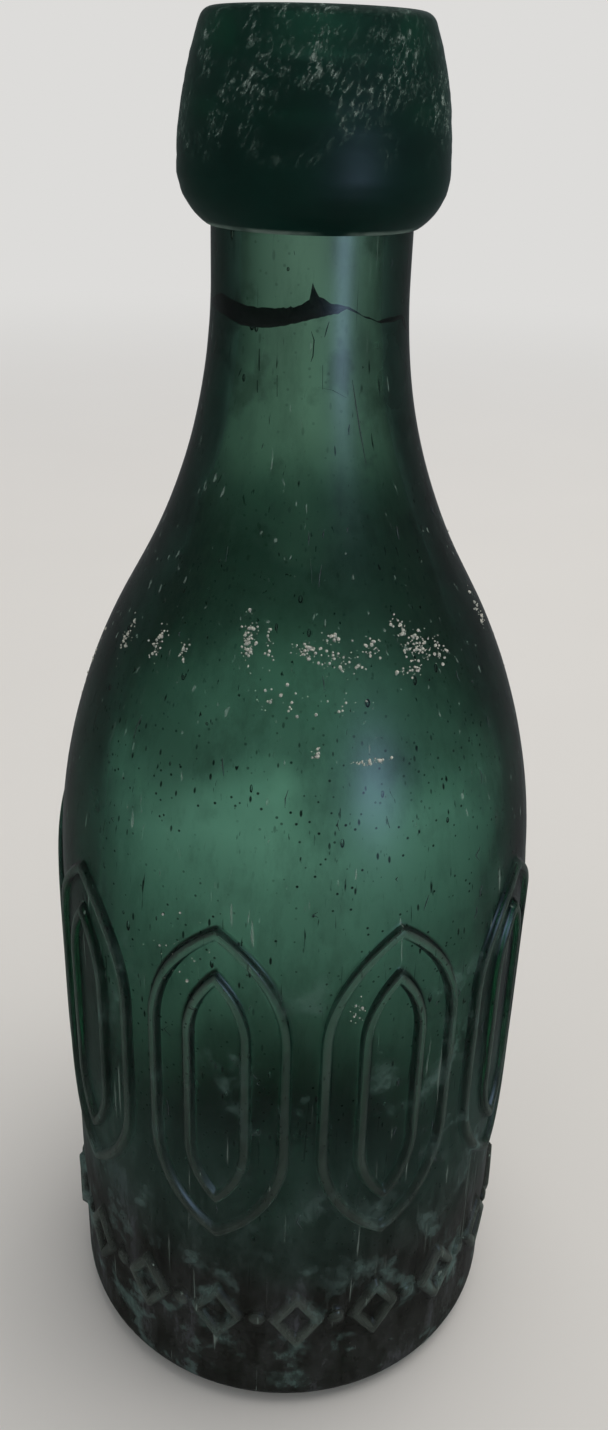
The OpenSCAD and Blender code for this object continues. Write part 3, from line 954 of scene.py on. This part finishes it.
def crusting():
    # Sets a rough crumb of lime on every point, each with its own size and turn
    tree, add, given = newTree("crusting", {
        "Geometry": "Geometry", "Least Radius": "Float", "Most Radius": "Float", "Roughness": "Float",
        "Random Seed": "Int", "Lime": "Material"})
    crumb = add("MeshIcoSphere", {"Radius": 1.0, "Subdivisions": 1})
    turn = add("RandomValue", {0: (0, 0, 0), 1: (math.tau,) * 3, "Seed": given["Random Seed"]},
               data_type="FLOAT_VECTOR")
    size = add("RandomValue", {2: 0.0, 3: 1.0, "Seed": given["Random Seed"]}, output=1, data_type="FLOAT")
    mostlySmall = add("Math POWER", [size, limescale["mostlySmall"]])
    radius = add("MapRange", [mostlySmall, 0.0, 1.0, given["Least Radius"], given["Most Radius"]])
    placed = add("InstanceOnPoints",
                 {"Points": given["Geometry"], "Instance": crumb, "Rotation": turn, "Scale": radius})
    real = add("RealizeInstances", {0: placed})
    place = add("InputPosition")
    rough = add("TexNoise", {"Vector": place, "Scale": patternScale(limescale["lumpWidth"])}, output=1)
    centred = add("VectorMath SUBTRACT", {0: rough, 1: (0.5,) * 3})
    push = add("VectorMath SCALE", {0: centred, "Scale": given["Roughness"]})
    uneven = add("SetPosition", {"Geometry": real, "Offset": push})
    coloured = add("SetMaterial", {"Geometry": uneven, "Material": given["Lime"]})
    add("NodeGroupOutput", {0: coloured})
    return tree


def limeFlecks(material):
    chance = random.Random(limescale["seed"])
    patches = list(limescale["patches"])
    for _ in range(limescale["otherPatches"]):
        patches.append((chance.uniform(*limescale["otherAngles"]), chance.gauss(*limescale["otherHeights"]),
                        *limescale["otherSpread"], limescale["otherCrumbs"]))
    spots = []
    for angle, z, across, up, count in patches:
        for _ in range(round(count * limescale["crumbsMore"])):
            spotZ = z + chance.gauss(0, up * limescale["gathered"])
            r = radiusAt(outerWall, spotZ)
            spotAngle = math.radians(angle) + chance.gauss(0, across * limescale["gathered"]) / r
            spots.append(onWall(spotAngle, r + limescale["proud"], spotZ))
    obj = newObject("limeFlecks", spots, [], material)
    grown(obj, crusting(), {
        "Least Radius": limescale["crumb"][0] * mm, "Most Radius": limescale["crumb"][1] * mm,
        "Roughness": limescale["roughness"] * mm, "Random Seed": limescale["seed"], "Lime": material,
    })
    return obj


blackInCracks = grainedMaterial("crackAndScratchBlack")
neckCrack = crackedNeck(blackInCracks)
scratchMarks = deepScratches(blackInCracks)
flecks = limeFlecks(grainedMaterial("limeCrust"))
for piece in (neckCrack, scratchMarks, flecks):
    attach(piece, "bottle")
print("age marks", len(flecks.data.polygons), "faces of lime")

for piece, node, bodyName, slot in ((bottleBody, "bottle_body", "bottle", "bottle_glass"),
                                    (appliedLip, "applied_lip", "bottle", "lip_glass"),
                                    (sealingRing, "sealing_ring", "bottle", "ring_rubber"),
                                    (marbleStopper, "marble_stopper", "marble", "marble_glass")):
    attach(piece, bodyName)
    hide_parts(node)


# Floor, backdrop, lamps and camera

studio = {
    "floorColours": ("#e3e2e0", "#dfdedc"),
    "shadeWidth": 90,          # mm, of the floor's faint clouds
    "floorRadius": 3.0,
    "floorHeight": -0.00005,   # a hair under the bottle's foot
    "floorCorners": 96,
    "fadeStart": (0.25, 1.1),  # where the floor runs into the sky's colour, so that no horizon shows
    "skyColour": "#dddcda",    # what camera and glass see past the floor
    "skyLight": 0.45,
    "camera": (0.0, -0.151799, 0.176622),
    "pitch": 27.049,
    "roll": 1.672,
    "lens": 36 * 1239.7 / 1430,
    "shift": (0.00434, 0.0033),
    "nearest": 0.01,
}
lamps = [
    {"name": "topLamp", "place": (0.25, 0.12, 0.9), "target": (0, 0, 0.08), "side": 0.9, "power": 6.0,
     "colour": "#fffaf4", "glintOnly": False},
    {"name": "frontGlint", "place": (0.25, -0.34, 0.13), "target": (0, 0, 0.11), "side": 0.1, "power": 2.4,
     "colour": "#bcdcff", "glintOnly": True},
]


def seenRays(add):
    # 1 for what the camera sees, also by way of glass or a gloss; 0 for light that falls on things
    rays = add("LightPath", output=None).outputs
    seen = rays["Is Camera Ray"]
    for name in ("Is Glossy Ray", "Is Transmission Ray"):
        seen = add("Math MAXIMUM", [seen, rays[name]])
    return seen


def studioFloor():
    # A pale, matt floor with faint clouds
    material, add, place = newMaterial("paleFloor")
    shade = add("TexNoise", {"Vector": place, "Scale": patternScale(studio["shadeWidth"]), "Detail": 2.0})
    first, second = [linearColour(c) for c in studio["floorColours"]]
    colour = add("Mix", {0: shade, 6: first, 7: second}, **colourMix)
    shader = add("BsdfDiffuse", {"Color": colour, "Roughness": 0.6})
    distance = add("VectorMath LENGTH", {0: place}, output="Value")
    away = add("MapRange", [distance, *studio["fadeStart"]], **smooth)
    share = add("Math MULTIPLY", [away, seenRays(add)])
    sky = add("Emission", {"Color": linearColour(studio["skyColour"]), "Strength": 1.0})
    faded = add("MixShader", [share, shader, sky])
    add("OutputMaterial", {"Surface": faded})
    corners = studio["floorCorners"]
    circle = [Vector((studio["floorRadius"] * math.cos(math.tau * i / corners),
                      studio["floorRadius"] * math.sin(math.tau * i / corners), studio["floorHeight"]))
              for i in range(corners)]
    floor = newObject("studioFloor", circle, [tuple(range(corners))], material)


def studioSky():
    world = bpy.data.worlds.new("studioSky")
    bpy.context.scene.world = world
    world.use_nodes = True
    world.node_tree.nodes.clear()
    add = partial(addNode, world.node_tree)
    light = [studio["skyLight"]] * 3 + [1.0]
    colour = add("Mix", {0: seenRays(add), 6: light, 7: linearColour(studio["skyColour"])}, **colourMix)
    back = add("Background", {"Color": colour, "Strength": 1.0})
    add("OutputWorld", {"Surface": back})


def softLamp(name, place, target, side, power, colour, glintOnly):
    data = bpy.data.lights.new(name, "AREA")
    data.shape = "RECTANGLE"
    data.size = data.size_y = side
    data.energy = power
    data.color = linearColour(colour)[:3]
    lamp = bpy.data.objects.new(name, data)
    lamp.location = place
    lamp.rotation_euler = (Vector(target) - Vector(place)).to_track_quat("-Z", "Y").to_euler()
    lamp.visible_camera = False
    lamp.visible_transmission = not glintOnly
    lamp.visible_diffuse = not glintOnly
    bpy.context.scene.collection.objects.link(lamp)


def photoCamera():
    data = bpy.data.cameras.new("photoCamera")
    data.lens = studio["lens"]
    data.sensor_width = 36
    data.shift_x, data.shift_y = studio["shift"]
    data.clip_start = studio["nearest"]
    camera = bpy.data.objects.new("photoCamera", data)
    turn = Matrix.Rotation(math.radians(90 - studio["pitch"]), 4, "X") @ Matrix.Rotation(
        math.radians(studio["roll"]), 4, "Z")
    camera.matrix_world = Matrix.Translation(studio["camera"]) @ turn
    bpy.context.scene.collection.objects.link(camera)
    bpy.context.scene.camera = camera


studioFloor()
studioSky()
for lamp in lamps:
    softLamp(**lamp)
photoCamera()
bpy.context.scene.view_settings.view_transform = "Standard"
print("studio ready")
